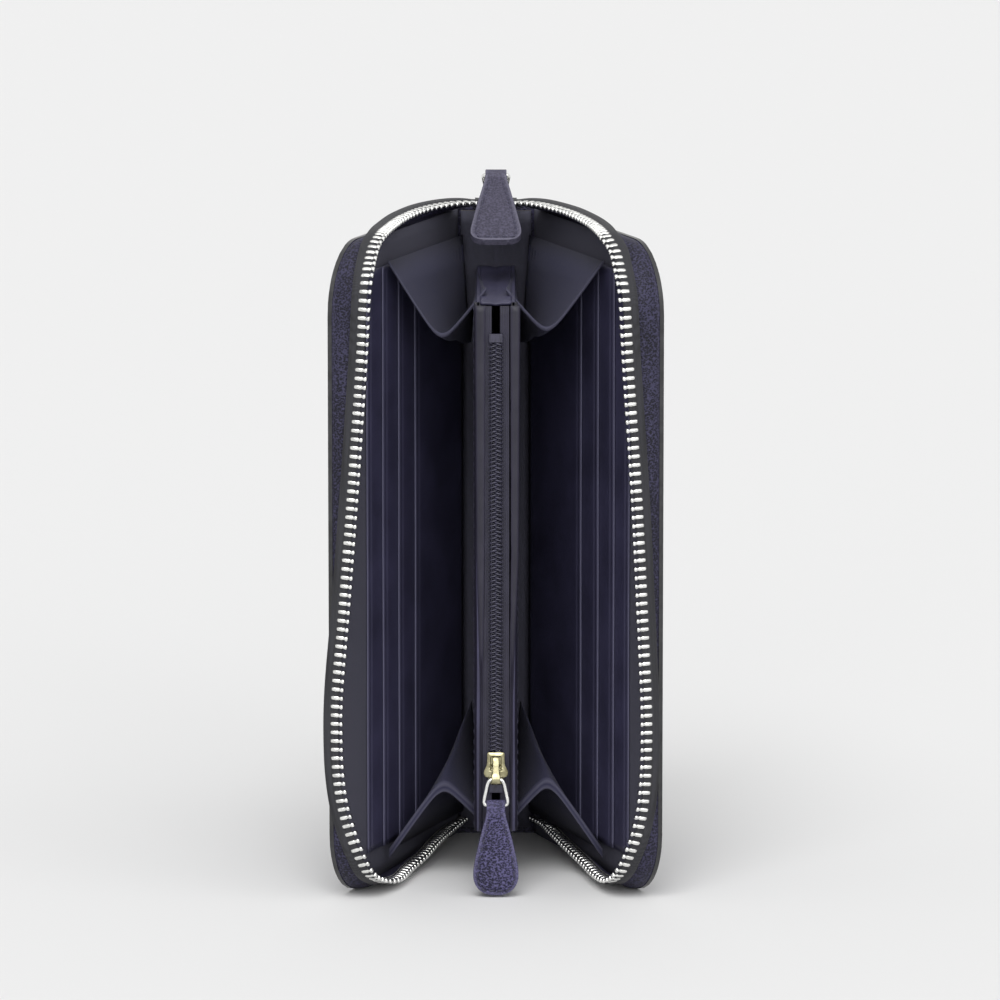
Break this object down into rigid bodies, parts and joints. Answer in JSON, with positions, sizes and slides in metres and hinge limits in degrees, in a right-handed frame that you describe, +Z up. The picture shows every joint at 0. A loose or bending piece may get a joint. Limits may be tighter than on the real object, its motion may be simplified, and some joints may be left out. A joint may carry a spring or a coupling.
{
  "type": "zip around wallet",
  "caption": "Long leather wallet with a metal zip round three sides, stood on end and partly open, with card pockets, gussets and a central zipped coin pocket with leather pulls.",
  "frame": {"origin": "on the surface the wallet stands on, at the centre of its bounding box", "axes": "+Z up along the wallet's length, +Y towards the spine, -Y towards the zip opening, +X to the viewer's right"},
  "size_m": [0.0966, 0.0978, 0.2039],
  "materials": {
    "outer_leather": "fine pebbled grain, satin",
    "edge_paint": "painted leather edge, satin",
    "inner_leather": "fine grain, satin",
    "binding_leather": "fine grain, satin",
    "pull_leather": "smooth, satin, stitched",
    "coin_pull_leather": "pebbled, satin, stitched",
    "board": "plain board",
    "lining": "fine woven twill",
    "gusset_lining": "fine woven twill, slight sheen",
    "zip_tape": "herringbone weave",
    "coin_tape": "herringbone weave",
    "coil": "nylon coil, satin",
    "thread": "twisted thread",
    "zip_metal": "polished nickel plate",
    "pale_gold_metal": "pale gold plate, polished"
  },
  "bodies": {
    "core": {"spine_leather": "outer_leather", "spine_board": "board", "spine_lining": "lining", "coin_pocket_left_panel": "inner_leather", "coin_pocket_right_panel": "inner_leather", "coin_pocket_top_seam": "inner_leather", "coin_pocket_bottom_seam": "inner_leather", "coin_left_binding": "binding_leather", "coin_right_binding": "binding_leather", "coin_left_tape": "coin_tape", "coin_right_tape": "coin_tape", "coin_left_coil": "coil", "coin_right_coil": "coil", "coin_top_stop": "coil", "coin_bottom_stop": "coil", "left_top_gusset": "gusset_lining", "right_top_gusset": "gusset_lining", "left_bottom_gusset": "gusset_lining", "right_bottom_gusset": "gusset_lining", "left_zip_bridge": "zip_metal", "right_zip_bridge": "zip_metal", "zip_end_chain": "zip_metal", "zip_end_tape": "zip_tape"},
    "left_cover": {"left_outer_leather": "outer_leather", "left_board": "board", "left_lining": "lining", "left_zip_wall": "outer_leather", "left_zip_tape": "zip_tape", "left_zip_teeth": "zip_metal", "left_card_row_1": "inner_leather", "left_card_row_2": "inner_leather", "left_card_row_3": "inner_leather", "left_card_row_4": "inner_leather"},
    "right_cover": {"right_outer_leather": "outer_leather", "right_board": "board", "right_lining": "lining", "right_zip_wall": "outer_leather", "right_zip_tape": "zip_tape", "right_zip_teeth": "zip_metal", "right_card_row_1": "inner_leather", "right_card_row_2": "inner_leather", "right_card_row_3": "inner_leather", "right_card_row_4": "inner_leather"},
    "main_slider": {"main_slider": "zip_metal"},
    "main_link": {"main_link": "zip_metal"},
    "main_pull": {"main_pull": "pull_leather"},
    "coin_slider": {"coin_slider": "pale_gold_metal"},
    "coin_link": {"coin_link": "zip_metal"},
    "coin_pull": {"coin_pull": "coin_pull_leather"}
  },
  "joints": [
    {"name": "left_cover_fold", "type": "hinge", "parent": "core", "child": "left_cover", "pos_m": [-0.0125, 0.0489, 0.096], "axis": [0, 0, -1], "range_deg": [-21, 12], "deforming": ["left_top_gusset", "left_bottom_gusset", "left_zip_bridge", "main_pull", "coin_pull"]},
    {"name": "right_cover_fold", "type": "hinge", "parent": "core", "child": "right_cover", "pos_m": [0.0125, 0.0489, 0.096], "axis": [0, 0, 1], "range_deg": [-21, 12], "deforming": ["right_top_gusset", "right_bottom_gusset", "right_zip_bridge", "main_pull", "coin_pull"]},
    {"name": "main_slider_travel", "type": "slide", "parent": "core", "child": "main_slider", "axis": [0, -1, 0], "range_m": [0, 0.06]},
    {"name": "main_link_swing", "type": "hinge", "parent": "main_slider", "child": "main_link", "pos_m": [0, 0.0402, 0.1976], "axis": [1, 0, 0], "range_deg": [-110, 0]},
    {"name": "main_pull_swing", "type": "hinge", "parent": "main_link", "child": "main_pull", "pos_m": [0, 0.0371, 0.20202], "axis": [1, 0, 0], "range_deg": [-60, 0]},
    {"name": "coin_slider_travel", "type": "slide", "parent": "core", "child": "coin_slider", "axis": [0, 0, 1], "range_m": [0, 0.1202]},
    {"name": "coin_link_swing", "type": "hinge", "parent": "coin_slider", "child": "coin_link", "pos_m": [0, -0.03855, 0.0348], "axis": [1, 0, 0], "range_deg": [-110, 0]},
    {"name": "coin_pull_swing", "type": "hinge", "parent": "coin_link", "child": "coin_pull", "pos_m": [0, -0.03855, 0.0272], "axis": [1, 0, 0], "range_deg": [-65, 0]}
  ]
}
